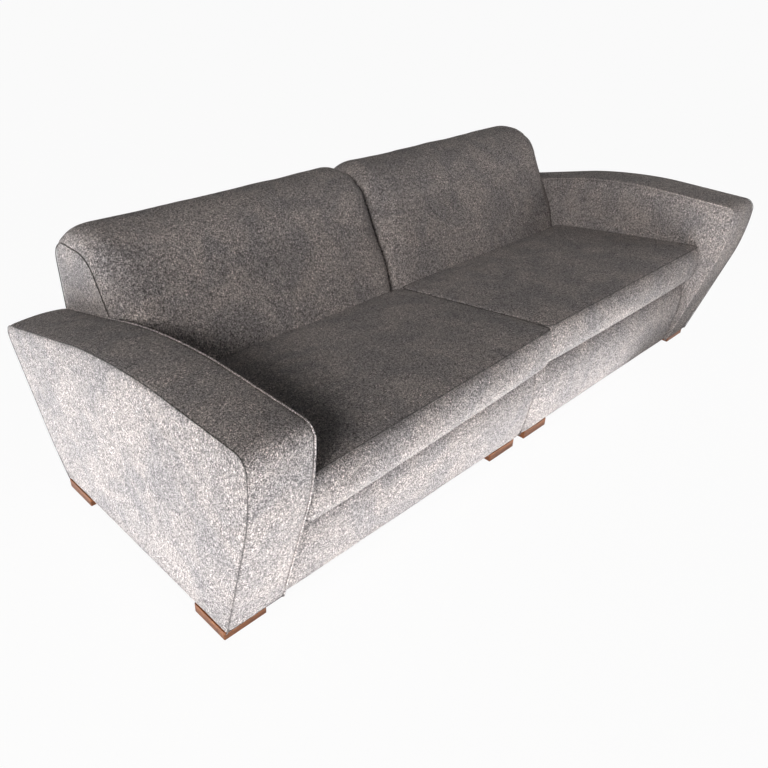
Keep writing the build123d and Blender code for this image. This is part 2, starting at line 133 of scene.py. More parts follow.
def add_outline(mesh, corners, radii, place, steps=10):
    """Adds a face with rounded corners to a bmesh and returns it."""
    points = [mesh.verts.new(place(*corner)) for corner in corners]
    mesh.faces.new(points)
    for i, (point, radius) in enumerate(zip(points, radii)):
        if radius:
            here, before, after = (Vector(corners[j % len(corners)]) for j in (i, i - 1, i + 1))
            turn = (here - before).angle(after - here)
            bmesh.ops.bevel(
                mesh, geom=[point], offset=radius * tan(turn / 2), offset_type="OFFSET",
                segments=steps, profile=0.5, affect="VERTICES", material=-1,
            )
    mesh.faces.ensure_lookup_table()
    return mesh.faces[-1]


def outline_points(corners, radii, place, steps=10):
    """The points of a rounded outline, in order."""
    mesh = bmesh.new()
    face = add_outline(mesh, corners, radii, place, steps)
    points = [loop.vert.co.copy() for loop in face.loops]
    mesh.free()
    return points


def prism(corners, radii, place, step, steps=10):
    """A closed form: an outline extruded by the vector step."""
    mesh = bmesh.new()
    face = add_outline(mesh, corners, radii, place, steps)
    grown = bmesh.ops.extrude_face_region(mesh, geom=[face], use_keep_orig=True)
    moved = [item for item in grown["geom"] if isinstance(item, bmesh.types.BMVert)]
    bmesh.ops.translate(mesh, verts=moved, vec=step)
    bmesh.ops.recalc_face_normals(mesh, faces=mesh.faces)
    return mesh


def bridged(rings):
    """A closed form through outlines that each have the same number of corners."""
    mesh = bmesh.new()
    earlier = None
    for i, (corners, radii, place) in enumerate(rings):
        known = set(mesh.edges)
        face = add_outline(mesh, corners, radii, place)
        edges = [edge for edge in mesh.edges if edge not in known]
        if 0 < i < len(rings) - 1:
            bmesh.ops.delete(mesh, geom=[face], context="FACES_ONLY")
        if earlier:
            bmesh.ops.bridge_loops(mesh, edges=earlier + edges)
        earlier = edges
    bmesh.ops.recalc_face_normals(mesh, faces=mesh.faces)
    return mesh


# %% [markdown]
# ## Helpers for cloth
# Upholstery gets its look from cloth pulled over soft foam and held at its seams. Each form is
# remeshed into even small quads, the seam lines are pinned, and a cloth simulation with a little
# air pressure swells the panels between them. How far a point may move is capped, so that a piece
# stays near the size of its solid.

# %% Mesh helpers
def linked(name, data):
    """A new object in the scene that shows the data."""
    item = bpy.data.objects.new(name, data)
    bpy.context.scene.collection.objects.link(item)
    return item


def kept(mesh, name):
    """Stores a bmesh as a mesh."""
    made = bpy.data.meshes.new(name)
    mesh.to_mesh(made)
    mesh.free()
    return made


def evaluated(source):
    """The mesh of an object with its modifiers; the object itself goes."""
    graph = bpy.context.evaluated_depsgraph_get()
    made = bpy.data.meshes.new_from_object(source.evaluated_get(graph))
    bpy.data.objects.remove(source)
    return made


def finished(name, mesh, material, body):
    """Makes a shown piece of a mesh and fastens it to a body of the frame."""
    piece = linked(name, mesh)
    mesh.materials.clear()
    mesh.materials.append(material)
    mesh.polygons.foreach_set("use_smooth", np.ones(len(mesh.polygons), bool))
    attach(piece, body)
    return piece


def remeshed(mesh, name, voxel):
    """The closed form as even quads of the given size."""
    source = linked(name, kept(mesh, name))
    remesh = source.modifiers.new("Remesh", "REMESH")
    remesh.mode = "VOXEL"
    remesh.voxel_size = voxel
    even = evaluated(source)
    print(name, "has", len(even.polygons), "quads of", voxel * 1000, "mm")
    return even


# %% Point helpers
def positions(mesh):
    values = np.empty(len(mesh.vertices) * 3)
    mesh.vertices.foreach_get("co", values)
    return values.reshape(-1, 3)


def normals(mesh):
    values = np.empty(len(mesh.vertices) * 3, np.float32)
    mesh.vertex_normals.foreach_get("vector", values)
    return values.reshape(-1, 3).astype(float)


def set_positions(mesh, values):
    mesh.vertices.foreach_set("co", values.astype(np.float32).ravel())
    mesh.update()


def seam_distance(points, lines, pitch=0.003):
    """How far each point lies from the nearest of the closed seam lines."""
    samples = []
    for line in lines:
        for start, end in zip(line, line[1:] + line[:1]):
            count = max(1, int((end - start).length / pitch))
            samples += [start.lerp(end, i / count) for i in range(count)]
    tree = KDTree(len(samples))
    for i, sample in enumerate(samples):
        tree.insert(sample, i)
    tree.balance()
    return np.array([tree.find(point)[2] for point in points])


def ramp(values, low, high):
    """Rises smoothly from 0 at low to 1 at high."""
    share = np.clip((values - low) / (high - low), 0, 1)
    return share * share * (3 - 2 * share)


def noise_at(points, scale, seed):
    """Smooth noise from -1 to 1 at each point."""
    shift = Vector((seed * 3.17, seed * 1.73, seed * 2.39))
    return np.array([noise.noise(Vector(point) * scale + shift) for point in points])


# %% [markdown]
# ## Materials
# Every finish is a small graph of nodes. The helpers below add the nodes that all of them need: a
# shader, noise in object coordinates, colours along a ramp, a mix of two colours and a bump.
# Noise on object coordinates keeps its scale on every piece and needs no unwrapping.

# %% Material helpers
def new_material(name, roughness, **sockets):
    """A material with a Principled shader, its node tree and its object coordinates."""
    material = bpy.data.materials.new(name)
    material.use_nodes = True
    tree = material.node_tree
    shader = tree.nodes["Principled BSDF"]
    shader.inputs["Roughness"].default_value = roughness
    for socket, value in sockets.items():
        shader.inputs[socket.replace("_", " ")].default_value = value
    place = tree.nodes.new("ShaderNodeTexCoord").outputs["Object"]
    return material, tree, shader, place


def stretched(tree, place, scale):
    mapping = tree.nodes.new("ShaderNodeMapping")
    mapping.inputs["Scale"].default_value = scale
    tree.links.new(place, mapping.inputs["Vector"])
    return mapping.outputs["Vector"]


def noise_node(tree, place, scale, detail=2.0, rough=0.5, distortion=0.0):
    node = tree.nodes.new("ShaderNodeTexNoise")
    node.inputs["Scale"].default_value = scale
    node.inputs["Detail"].default_value = detail
    node.inputs["Roughness"].default_value = rough
    node.inputs["Distortion"].default_value = distortion
    tree.links.new(place, node.inputs["Vector"])
    return node.outputs["Fac"]


def color_ramp(tree, factor, stops):
    """Colours at places from 0 to 1 along the factor."""
    node = tree.nodes.new("ShaderNodeValToRGB")
    elements = node.color_ramp.elements
    while len(elements) < len(stops):
        elements.new(0.5)
    for element, (place, color) in zip(elements, stops):
        element.position = place
        element.color = (*color, 1)
    tree.links.new(factor, node.inputs["Fac"])
    return node.outputs["Color"]


def mixed(tree, factor, a, b, blend="MIX"):
    """Mixes two colours; a factor is a number or a socket."""
    node = tree.nodes.new("ShaderNodeMix")
    node.data_type = "RGBA"
    node.blend_type = blend
    sockets = node.inputs["Factor"], node.inputs[6], node.inputs[7]
    for socket, value in zip(sockets, (factor, a, b)):
        if isinstance(value, bpy.types.NodeSocket):
            tree.links.new(value, socket)
        else:
            socket.default_value = value
    return node.outputs[2]


def bumped(tree, shader, height, strength, distance):
    """Adds a bump, on top of the one that the shader has already."""
    node = tree.nodes.new("ShaderNodeBump")
    node.inputs["Strength"].default_value = strength
    node.inputs["Distance"].default_value = distance
    tree.links.new(height, node.inputs["Height"])
    if shader.inputs["Normal"].is_linked:
        tree.links.new(shader.inputs["Normal"].links[0].from_socket, node.inputs["Normal"])
    tree.links.new(node.outputs["Normal"], shader.inputs["Normal"])


# %% [markdown]
# The cloth is a heathered chenille: short fibres of several greys twisted together. From near it
# is speckled, and from afar it has soft warm and cool patches where the nap was stroked. Three
# noises give the patches, the nap and the fibres, and the last two also raise the bump. The welts
# of the seams get a darker copy, painted shade for the shadow in the seam's groove, and the arm's
# piping a paler copy, a painted highlight where the cord catches the light.

# %% Chenille
cool_grey, warm_grey = (0.318, 0.300, 0.300), (0.436, 0.399, 0.384)


def make_chenille(name, depth):
    """The heathered cloth; a depth below 1 paints shade on it and one above 1 a highlight."""
    material, tree, shader, place = new_material(
        name, 0.93, Sheen_Weight=0.12, Sheen_Roughness=0.5, Specular_IOR_Level=0.12
    )
    # the depth scales both greys: below 1 it is painted shade, above 1 a painted highlight
    cool, warm = [tuple(depth * part for part in tone) for tone in (cool_grey, warm_grey)]
    patches = noise_node(tree, place, 7.0, detail=4.0, rough=0.6, distortion=0.8)
    ground = color_ramp(tree, patches, [(0.38, cool), (0.62, warm)])
    along_nap = stretched(tree, place, (1.0, 1.0, 0.7))
    nap = noise_node(tree, along_nap, 180.0, detail=4.0, rough=0.8, distortion=0.8)
    nap_tone = color_ramp(tree, nap, [(0.43, (0.52, 0.52, 0.53)), (0.57, (1.48, 1.48, 1.48))])
    along_fibres = stretched(tree, place, (1.0, 0.95, 0.8))
    fibres = noise_node(tree, along_fibres, 400.0, detail=3.0, rough=0.8, distortion=0.5)
    fibre_tone = color_ramp(
        tree, fibres,
        [(0.41, (0.20, 0.19, 0.19)), (0.50, (0.90, 0.90, 0.90)), (0.59, (2.10, 2.08, 2.06))],
    )
    tone = mixed(tree, 1.0, ground, nap_tone, "MULTIPLY")
    tree.links.new(mixed(tree, 1.0, tone, fibre_tone, "MULTIPLY"), shader.inputs["Base Color"])
    bumped(tree, shader, nap, strength=1.0, distance=0.0065)
    bumped(tree, shader, fibres, strength=0.9, distance=0.0022)
    return material


chenille = make_chenille("chenille", 1.0)
# darker copy for the seam welts: painted shade for the shadow in the seam's groove
seam_chenille_painted_shade = make_chenille("seam_chenille_painted_shade", 0.42)
# paler copy for the arm's piping: a painted highlight where the cord catches the light
painted_highlight_chenille = make_chenille("painted_highlight_chenille", 1.35)
print("chenille made in three depths")


# %% [markdown]
# The deck under the cushions is a plain dark cloth, and the underside is closed with a thin black
# one. They are simple weaves, so a fine noise for the threads and a broad one for wear do.

# %% Plain cloths
def make_cloth(name, dark, light, weave_scale, roughness):
    material, tree, shader, place = new_material(
        name, roughness, Sheen_Weight=0.15, Specular_IOR_Level=0.1
    )
    threads = noise_node(tree, place, weave_scale, detail=2.0, rough=0.6)
    wear = noise_node(tree, place, 9.0, detail=3.0, rough=0.6, distortion=0.4)
    tone = color_ramp(tree, threads, [(0.30, dark), (0.70, light)])
    shade = color_ramp(tree, wear, [(0.30, (0.80, 0.80, 0.80)), (0.75, (1.15, 1.15, 1.15))])
    tree.links.new(mixed(tree, 1.0, tone, shade, "MULTIPLY"), shader.inputs["Base Color"])
    bumped(tree, shader, threads, strength=0.4, distance=0.0006)
    return material


deck_cloth = make_cloth("deck_cloth", (0.030, 0.029, 0.028), (0.085, 0.082, 0.078), 700.0, 0.9)
dust_cloth = make_cloth("dust_cloth", (0.008, 0.008, 0.008), (0.028, 0.028, 0.028), 420.0, 0.95)
print("deck and dust cloth made")


# %% [markdown]
# ## Wood
# The feet are solid blocks in a warm brown satin varnish, and the frame inside is raw timber and
# plywood. Grain is noise stretched along the board, with darker lines where the stretched noise
# is sharpened by a ramp.

# %% Woods
def make_wood(name, stops, grain_scale, stretch, roughness, coat):
    material, tree, shader, place = new_material(
        name, roughness, Coat_Weight=coat, Coat_Roughness=0.25
    )
    along = stretched(tree, place, stretch)
    broad = noise_node(tree, along, grain_scale, detail=4.0, rough=0.55, distortion=1.2)
    fine = noise_node(tree, along, grain_scale * 7, detail=3.0, rough=0.65, distortion=0.2)
    pores = color_ramp(tree, fine, [(0.36, (0.62, 0.58, 0.55)), (0.52, (1.0, 1.0, 1.0))])
    tone = color_ramp(tree, broad, stops)
    tree.links.new(mixed(tree, 1.0, tone, pores, "MULTIPLY"), shader.inputs["Base Color"])
    bumped(tree, shader, fine, strength=0.25, distance=0.0006)
    return material


foot_wood = make_wood(
    "foot_wood",
    [(0.30, (0.170, 0.050, 0.012)), (0.50, (0.280, 0.092, 0.024)), (0.72, (0.400, 0.150, 0.044))],
    grain_scale=26.0, stretch=(0.35, 1.0, 2.2), roughness=0.46, coat=0.08,
)
timber = make_wood(
    "timber",
    [(0.32, (0.440, 0.290, 0.150)), (0.55, (0.600, 0.430, 0.250)), (0.75, (0.700, 0.540, 0.350))],
    grain_scale=18.0, stretch=(0.25, 1.0, 1.6), roughness=0.75, coat=0.0,
)
plywood = make_wood(
    "plywood",
    [(0.30, (0.500, 0.340, 0.190)), (0.55, (0.660, 0.500, 0.310)), (0.75, (0.750, 0.600, 0.410))],
    grain_scale=9.0, stretch=(6.0, 0.5, 1.0), roughness=0.7, coat=0.0,
)
print("woods made")


# %% [markdown]
# ## Steel
# The sinuous springs are drawn wire with a dark oxide skin. Bolts, clips, screws and the
# connector are zinc plated, which is paler and slightly blotched. Both are metallic shaders, and
# a fine noise varies their colour and raises a slight bump.

# %% Steels
def make_steel(name, dark, light, roughness):
    material, tree, shader, place = new_material(name, roughness, Metallic=1.0)
    spots = noise_node(tree, place, 160.0, detail=3.0, rough=0.6)
    tone = color_ramp(tree, spots, [(0.3, dark), (0.7, light)])
    tree.links.new(tone, shader.inputs["Base Color"])
    bumped(tree, shader, spots, strength=0.15, distance=0.0003)
    return material


spring_steel = make_steel("spring_steel", (0.16, 0.16, 0.17), (0.30, 0.30, 0.31), 0.42)
plated_steel = make_steel("plated_steel", (0.50, 0.50, 0.47), (0.68, 0.68, 0.66), 0.32)
print("steels made")


# %% [markdown]
# The record names the finish of every solid piece, so one loop gives them all their material.

# %% Finishes of the solid pieces
finishes = {
    "upholstery": chenille, "deck_cloth": deck_cloth, "dust_cloth": dust_cloth,
    "plywood": plywood, "timber": timber, "foot_wood": foot_wood,
    "spring_steel": spring_steel, "plated_steel": plated_steel,
}
slot_of = {part["node"]: part["material_slot"] for part in frame["record"]["subparts"]}
for name, node in frame["nodes"].items():
    node.data.materials.clear()
    node.data.materials.append(finishes[slot_of[name]])
print("finishes given to", len(slot_of), "solid pieces")


# %% [markdown]
# ## Camera
# The camera stands high in front of the left unit. Its place and lens come from the sofa's own
# straight edges and corners: where parallel edges run together gives the turn and the lens, and
# the known lengths give the distance.

# %% Camera
camera_place = Vector((-1.8698, -1.5613, 1.5385))
yaw, pitch, roll = 0.8129, 0.5564, -0.0427
forward = Vector((sin(yaw) * cos(pitch), cos(yaw) * cos(pitch), -sin(pitch)))
level_right = Vector((cos(yaw), -sin(yaw), 0))
level_down = forward.cross(level_right)
camera_right = cos(roll) * level_right + sin(roll) * level_down
camera_up = sin(roll) * level_right - cos(roll) * level_down
camera = linked("camera", bpy.data.cameras.new("camera"))
camera.data.sensor_width, camera.data.lens = 36.0, 35.42
camera.matrix_world = Matrix.Translation(camera_place) @ Matrix(
    (camera_right, camera_up, -forward)
).transposed().to_4x4()
bpy.context.scene.camera = camera
print("camera at", tuple(round(value, 3) for value in camera_place))


# %% [markdown]
# ## Forms of the padded pieces
# Every padded form is made once, for the right unit, and mirrored for the left one. The arm is
# its side outline extruded across its width, then given a crown over the top and the nose. Its
# inner side stays flat where the cushion and the back lie against it, and swells only a little
# above them, so that the cushion can be lifted out.

# %% Arm form
voxel = 0.006
seam_lip = 0.0022
arm_middle_u, arm_half_width = (arm_inner_u + outer_u) / 2, (outer_u - arm_inner_u) / 2
arm_seam_us = (arm_inner_u + seam_lip, outer_u - seam_lip)
arm_edge_corners = [(y + nose_crown if y == nose_y else y, z) for y, z in arm_corners]
arm_turn, nose_crown_z = (0.1, 0.5), (0.10, 0.42)  # where the crowns fade in
arm_inner_swell = 0.0024
over_cushion, tail_y, before_tail = 0.06, 0.93, 0.10  # where the inner side may swell


def crown_arm(points, directions):
    """Raises the top and the nose into a soft arch across the arm's width."""
    across = 1 - ((points[:, 0] - arm_middle_u) / arm_half_width) ** 2
    across = np.clip(across, 0, 1) * ramp(1 - np.abs(directions[:, 0]), *arm_turn)
    front = np.clip(-directions[:, 1], 0, 1) * nose_crown * ramp(points[:, 2], *nose_crown_z)
    top = np.clip(directions[:, 2], 0, 1) * arm_crown
    points[:, 1] -= across * front
    points[:, 2] += across * top
    return points


def hold_arm(points, rest):
    """Holds the inner side back from the cushion and the back, and the rim off the feet."""
    seat_z = deck_front_z + cushion_thickness - (points[:, 1] - front_feet_y) * tan(seat_slope)
    above = ramp(rest[:, 2] - seat_z, 0.0, over_cushion)
    free = above * ramp(tail_y - (rest[:, 1] - front_feet_y), 0.0, before_tail)
    inner = rest[:, 0] < arm_middle_u
    held = rest[:, 0] + free * (points[:, 0] - rest[:, 0])
    points[:, 0] = np.where(inner, held, points[:, 0])
    over_seat = np.maximum(arm_inner_u - points[:, 0], 0)
    points[:, 0] += over_seat - arm_inner_swell * np.tanh(over_seat / arm_inner_swell)
    points[:, 2] = np.maximum(points[:, 2], rim_z)
    return points


arm_step = Vector((2 * arm_half_width, 0, 0))
arm_form = prism(arm_edge_corners, arm_radii, side_place(arm_inner_u), arm_step)
arm_mesh = remeshed(arm_form, "arm", voxel)
set_positions(arm_mesh, crown_arm(positions(arm_mesh), normals(arm_mesh)))
arm_seams = [outline_points(arm_edge_corners, arm_radii, side_place(u)) for u in arm_seam_us]


# %% [markdown]
# The back is rounded at both ends as well as over the top, so its outline gets smaller towards
# the ends. Outlines at several distances are bridged, with the insets of a quarter circle.

# %% Back form
back_corners = back_face + [(1.038, 0.4304), (0.6464, 0.2236)]
back_near, back_far = gap_u, arm_inner_u - touch_gap
end_shares = (0, 0.04, 0.12, 0.25, 0.45, 0.7, 1)
back_seam_share = 0.88
back_free_z = (0.44, 0.56)  # below it the back is hidden behind the cushion


def back_ring(u, rounding, crown):
    """The back's outline at the distance u, drawn in by a share of the end's rounding."""
    front_inset = rounding * back_end_radius + crown
    rear_inset = rounding * back_rear_end_radius
    corners = inset(back_corners, [front_inset, front_inset, front_inset, rear_inset, 0, 0])
    radii = [max(radius - front_inset, 0) for radius in back_radii]
    return corners, radii, side_place(u)


def back_rings():
    ends = [(share * back_end_radius, 1 - sqrt(1 - (1 - share) ** 2)) for share in end_shares]
    rings = [back_ring(back_near + reach, rounding, back_crown) for reach, rounding in ends]
    rings.append(back_ring((back_near + back_far) / 2, 0, 0))
    rings += [back_ring(back_far - reach, rounding, back_crown) for reach, rounding in ends[::-1]]
    return rings


def hold_back(points, rest):
    """Keeps the back behind the cushion as it was, and its ends off the neighbours."""
    free = ramp(rest[:, 2], *back_free_z)[:, None]
    points = rest + free * (points - rest)
    points[:, 0] = np.clip(points[:, 0], meet_u, back_far)
    return points


back_mesh = remeshed(bridged(back_rings()), "back", voxel)
back_seams = []
for u in (back_near + seam_lip / 4, back_far - seam_lip / 4):
    back_seams.append(outline_points(*back_ring(u, back_seam_share, back_crown)))


# %% [markdown]
# A seat cushion is a top and a bottom panel joined by a boxing strip. Its plan has rounded
# corners, and its rear leans back with the sofa's back. The top panel and the front are crowned
# before the simulation, and the seams along the top and the bottom edges stay put in it.

# %% Cushion form
lift_gap = 0.0004  # room beside the swollen arm when the cushion is lifted
cushion_near, cushion_far = gap_u + cushion_gap, arm_inner_u - arm_inner_swell - lift_gap
cushion_rear, rear_lean = 0.5541, 0.1706
corner_radii = (0.024, 0.026, 0.026, 0.024)
low_radius, high_radius = 0.030, 0.007
seam_inset, low_seam_rise = 0.29, 0.30  # as shares of the edge's radius


def cushion_ring(height, lip):
    """The cushion's plan at a height, drawn in all round by the lip."""
    front = -cushion_overhang - height / cushion_thickness * cushion_lean
    rear = cushion_rear + height * rear_lean
    plan = oblong(cushion_near + lip, cushion_far - lip, front + lip, rear - lip)
    return plan, [radius - lip for radius in corner_radii], deck_place(height)


def cushion_rings():
    insets = [(share, 1 - sqrt(1 - (1 - share) ** 2)) for share in end_shares]
    rings = []
    for share, lip in insets:
        rings.append(cushion_ring(touch_gap + share * low_radius, low_radius * lip))
    for share, lip in insets[::-1]:
        rings.append(cushion_ring(cushion_thickness - share * high_radius, high_radius * lip))
    return rings


cushion_mesh = remeshed(bridged(cushion_rings()), "cushion", voxel)
cushion_seams = [
    outline_points(*cushion_ring(touch_gap + low_radius * low_seam_rise, low_radius * seam_inset)),
    outline_points(
        *cushion_ring(cushion_thickness - high_radius * seam_inset, high_radius * seam_inset)
    ),
]

# %% Crowns and place of the cushion
front_crown, front_end_crown, top_crown, top_end_crown = 0.030, 0.016, 0.013, 0.004
facing = (0.2, 0.8)  # how squarely a face has to look the crown's way
deck_clearance, lip_reach = 0.0004, -0.045
cushion_pushes = {"left": (0.012, 0.060), "right": (0.0, 0.0)}


def on_deck(points):
    """Reach and height of places over the sloping deck."""
    offsets = points - np.array(deck_start)
    return offsets @ np.array(deck_run), offsets @ np.array(deck_rise)


def crown_cushion(points, directions):
    """Rounds the front and the top, more in the middle than at the ends."""
    reach, height = on_deck(points)
    _, upward = on_deck(directions + np.array(deck_start))
    width = cushion_far - cushion_near
    across = 1 - ((2 * points[:, 0] - cushion_near - cushion_far) / width) ** 4
    across = np.clip(across, 0, 1)
    up = np.clip(1 - (2 * height / cushion_thickness - 1) ** 2, 0, 1)
    depth = cushion_rear + 2 * cushion_overhang
    along = np.clip(1 - (2 * (reach + cushion_overhang) / depth - 1) ** 4, 0, 1)
    front = (front_end_crown + (front_crown - front_end_crown) * across) * up
    front = front * ramp(-directions[:, 1], *facing)
    top = (top_end_crown + (top_crown - top_end_crown) * across) * along * ramp(upward, *facing)
    return points - front[:, None] * np.array(deck_run) + top[:, None] * np.array(deck_rise)


def hold_cushion(points, rest):
    """Keeps the cushion on its deck, off the back and clear at both ends."""
    reach, height = on_deck(points)
    rest_reach, _ = on_deck(rest)
    points[:, 0] = np.clip(points[:, 0], meet_u, cushion_far)
    lift = np.maximum(deck_clearance - height, 0) * ramp(rest_reach, lip_reach, 0.0)
    push = np.minimum(cushion_rear + height * rear_lean - reach, 0)
    return points + lift[:, None] * np.array(deck_rise) + push[:, None] * np.array(deck_run)


def pushed(points, pushes):
    """The cushion with its front drawn forward, by one push at the gap and one at the arm."""
    reach, _ = on_deck(points)
    outward = (points[:, 0] - cushion_near) / (cushion_far - cushion_near)
    forward = pushes[0] + (pushes[1] - pushes[0]) * outward
    forward = forward * np.clip(1 - reach / cushion_rear, 0, 1)
    return points - forward[:, None] * np.array(deck_run)


set_positions(cushion_mesh, crown_cushion(positions(cushion_mesh), normals(cushion_mesh)))
print("cushion crowned by", round(front_crown * 1000), "mm at the front")


# %% [markdown]
# The front border is a padded strip under the seat. Its face leans out towards the top, swells
# most at about two thirds of its height and rolls back under the cushion. One end is sewn to the
# closing panel, and the other is tucked in beside the arm.

# %% Border form
border_corners = [(0.0, rim_z), (-0.013, 0.3156), (0.010, 0.3123), (0.010, rim_z)]
border_radii = (0.003, 0.018, 0, 0)
border_bulge, bulge_rise = 0.034, 0.68
end_bulge, end_run = 0.60, 0.06  # the share of the bulge that the ends keep, and how far they run
border_facing, border_slack = (0.2, 0.7), 0.0008


def swell_border(points, directions):
    """Swells the face, with its crest at the bulge's rise."""
    rise = (points[:, 2] - rim_z) / (border_corners[1][1] - rim_z)
    ends = np.minimum(points[:, 0] - gap_u, arm_inner_u - points[:, 0])
    below, above = rise / bulge_rise - 1, (rise - bulge_rise) / (1 - bulge_rise)
    share = np.where(rise < bulge_rise, below, above)
    width_share = end_bulge + (1 - end_bulge) * ramp(ends, 0.0, end_run)
    swell = border_bulge * np.clip(1 - share ** 2, 0, 1) * width_share
    points[:, 1] -= swell * ramp(-directions[:, 1], *border_facing)
    return points


def hold_border(points, rest):
    """Keeps the border between the rim and the cushion, and clear at both ends."""
    points[:, 0] = np.clip(points[:, 0], meet_u, arm_inner_u)
    points[:, 2] = np.clip(points[:, 2], rim_z, rest[:, 2] + border_slack)
    return points


border_step = Vector((arm_inner_u - gap_u, 0, 0))
border_form = prism(border_corners, border_radii, side_place(gap_u), border_step)
border_mesh = remeshed(border_form, "border", voxel)
set_positions(border_mesh, swell_border(positions(border_mesh), normals(border_mesh)))
border_seams = [outline_points(border_corners, border_radii, side_place(gap_u + seam_lip))]


# %% [markdown]
# ## Cloth simulation
# All the forms swell at the same time in one simulation of twenty frames without gravity. Points
# near a seam are pinned. The swelling is then capped softly, and each form is held clear of its
# neighbours.

# %% Simulation
air_pressure, last_frame, pin_width = 4.0, 20, 0.008
forms = {
    "arm": {"mesh": arm_mesh, "seams": arm_seams, "cap": 0.006, "hold": hold_arm},
    "back": {"mesh": back_mesh, "seams": back_seams, "cap": 0.009, "hold": hold_back},
    "cushion": {"mesh": cushion_mesh, "seams": cushion_seams, "cap": 0.022, "hold": hold_cushion},
    "border": {"mesh": border_mesh, "seams": border_seams, "cap": 0.004, "hold": hold_border},
}


def start_cloth(name, form):
    """Gives a form a cloth simulation that is pinned along its seams."""
    source = linked(name + "_cloth", form["mesh"])
    pins = source.vertex_groups.new(name="seams")
    near_seam = np.nonzero(form["from_seam"] < pin_width)[0]
    pins.add([int(i) for i in near_seam], 1.0, "REPLACE")
    cloth = source.modifiers.new("Cloth", "CLOTH")
    cloth.settings.vertex_group_mass = "seams"
    cloth.settings.use_pressure = True
    cloth.settings.uniform_pressure_force = air_pressure
    cloth.settings.effector_weights.gravity = 0
    cloth.collision_settings.use_collision = False
    cloth.point_cache.frame_start, cloth.point_cache.frame_end = 1, last_frame
    return source


# %% Run of the simulation
for name, form in forms.items():
    form["rest"] = positions(form["mesh"])
    form["from_seam"] = seam_distance(form["rest"], form["seams"])
    form["swollen"] = form["rest"].copy()
cloths = {name: start_cloth(name, form) for name, form in forms.items()}
for frame_number in range(1, last_frame + 1):
    bpy.context.scene.frame_set(frame_number)
graph = bpy.context.evaluated_depsgraph_get()
for name, source in cloths.items():
    forms[name]["swollen"] = positions(source.evaluated_get(graph).data)
for source in cloths.values():
    bpy.data.objects.remove(source)
bpy.context.scene.frame_set(1)
for name, form in forms.items():
    moves = form["swollen"] - form["rest"]
    lengths = np.linalg.norm(moves, axis=1)
    capped = form["cap"] * np.tanh(lengths / form["cap"])
    form["swollen"] = form["rest"] + moves * (capped / np.maximum(lengths, 1e-9))[:, None]
    most, free_most = [round(float(values.max()) * 1000, 1) for values in (capped, lengths)]
    print(name, "swells by up to", most, "mm, and would by", free_most, "mm without its cap")


# %% [markdown]
# ## Upholstery of both units
# The swollen forms become the pieces of each unit. Low noise gives the cloth the slight waves it
# has over foam, and short ripples beside the seams are where the thread gathers it. The two units
# get different noise. A seam lies in a shallow groove as a thin welt darkened with painted shade,
# and the inner edge of each arm has a piping instead, made paler as a painted highlight.

# %% Waves and welts
wave_heights = {"arm": 0.0016, "back": 0.0024, "cushion": 0.0034, "border": 0.0018}
broad_scale, fine_scale, fine_share, calm_width = 5.5, 14.0, 0.45, (0.004, 0.07)
ripple_height, ripple_scale, ripple_reach = 0.0009, 55.0, 0.012
groove_depth, groove_width = 0.0022, 0.006


def waved(form, height, seed):
    """A copy of a swollen form with waves, ripples beside the seams and a groove along them."""
    mesh = form["mesh"].copy()
    points = form["swollen"].copy()
    set_positions(mesh, points)
    outward = normals(mesh)
    from_seam = form["from_seam"]
    away = ramp(from_seam, *calm_width)
    waves = noise_at(points, broad_scale, seed)
    waves = waves + fine_share * noise_at(points, fine_scale, seed + 1)
    beside = np.exp(-((from_seam - ripple_reach) / ripple_reach) ** 2)
    ripples = noise_at(points, ripple_scale, seed + 2) * beside
    groove = groove_depth * np.exp(-(from_seam / groove_width) ** 2)
    moved = points + outward * (away * height * waves + ripple_height * ripples - groove)[:, None]
    set_positions(mesh, form["hold"](moved, form["rest"]))
    return mesh


def mirrored(mesh, side):
    """The mesh on its own side; a mirror turns the faces, so they are flipped back."""
    if side < 0:
        mesh.transform(Matrix.Scale(-1, 4, (1, 0, 0)))
        mesh.flip_normals()
    return mesh


def welt_mesh(name, lines, radius, side, closed=True):
    """A thin round cord along each line."""
    curve = bpy.data.curves.new(name, "CURVE")
    curve.dimensions = "3D"
    curve.bevel_depth, curve.bevel_resolution = radius, 2
    for line in lines:
        spline = curve.splines.new("POLY")
        spline.points.add(len(line) - 1)
        for point, place in zip(spline.points, line):
            point.co = (place.x * side, place.y, place.z, 1)
        spline.use_cyclic_u = closed
    return evaluated(linked(name, curve))


